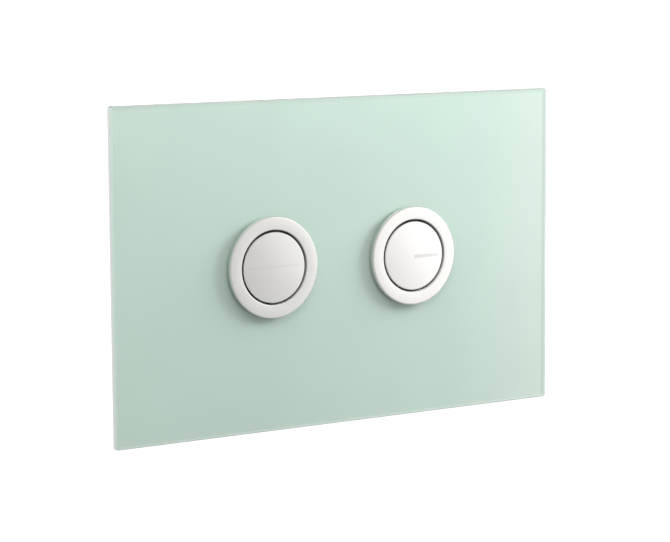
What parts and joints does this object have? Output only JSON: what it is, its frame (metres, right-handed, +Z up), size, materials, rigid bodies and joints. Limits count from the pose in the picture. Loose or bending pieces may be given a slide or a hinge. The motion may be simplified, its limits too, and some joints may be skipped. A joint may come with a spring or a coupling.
{
  "type": "flush button plate",
  "caption": "Wall-mounted flush plate: a back-painted mint glass rectangle with raised round chrome push buttons, a moulded carrier and sprung push rods behind.",
  "frame": {"origin": "centre of the mounting frame's rear face, on the wall plane", "axes": "+X to the right seen from the front, +Z up, +Y into the wall; the glass faces -Y"},
  "size_m": [0.235, 0.0837, 0.15],
  "materials": {
    "painted_glass": "clear glass with polished edges, painted pale mint on the back",
    "chrome_trim": "satin chrome",
    "seal_rubber": "matt black seal",
    "dark_plastic": "fine-grained black moulding",
    "grey_plastic": "fine-grained grey moulding",
    "white_plastic": "fine-grained white moulding",
    "white_acetal": "smooth natural white bearing plastic",
    "spring_steel": "drawn wire",
    "rod_steel": "stainless rod",
    "brass": "turned brass",
    "foam_tape": "black double-sided foam tape"
  },
  "bodies": {
    "plate_assembly": {"glass_plate": "painted_glass", "upper_bonding_tape": "foam_tape", "lower_bonding_tape": "foam_tape", "carrier": "white_plastic", "mounting_frame": "white_plastic", "left_fixing_rod": "grey_plastic", "left_fixing_nut": "dark_plastic", "left_bezel": "chrome_trim", "left_bezel_gasket": "seal_rubber", "left_clamp_nut": "dark_plastic", "left_guide_housing": "grey_plastic", "left_return_spring": "spring_steel", "right_fixing_rod": "grey_plastic", "right_fixing_nut": "dark_plastic", "right_bezel": "chrome_trim", "right_bezel_gasket": "seal_rubber", "right_clamp_nut": "dark_plastic", "right_guide_housing": "grey_plastic", "right_return_spring": "spring_steel"},
    "left_button": {"left_button_cap": "chrome_trim", "left_plunger": "white_acetal", "left_retaining_ring": "spring_steel", "left_push_rod": "rod_steel", "left_rod_lock_nut": "brass"},
    "right_button": {"right_button_cap": "chrome_trim", "right_plunger": "white_acetal", "right_retaining_ring": "spring_steel", "right_push_rod": "rod_steel", "right_rod_lock_nut": "brass"}
  },
  "joints": [
    {"name": "left_press", "type": "slide", "parent": "plate_assembly", "child": "left_button", "axis": [0, 1, 0], "range_m": [0, 0.006], "stiffness_N_per_m": 600, "springref_m": -0.004, "deforming": ["left_return_spring"]},
    {"name": "right_press", "type": "slide", "parent": "plate_assembly", "child": "right_button", "axis": [0, 1, 0], "range_m": [0, 0.006], "stiffness_N_per_m": 600, "springref_m": -0.004, "deforming": ["right_return_spring"]}
  ]
}
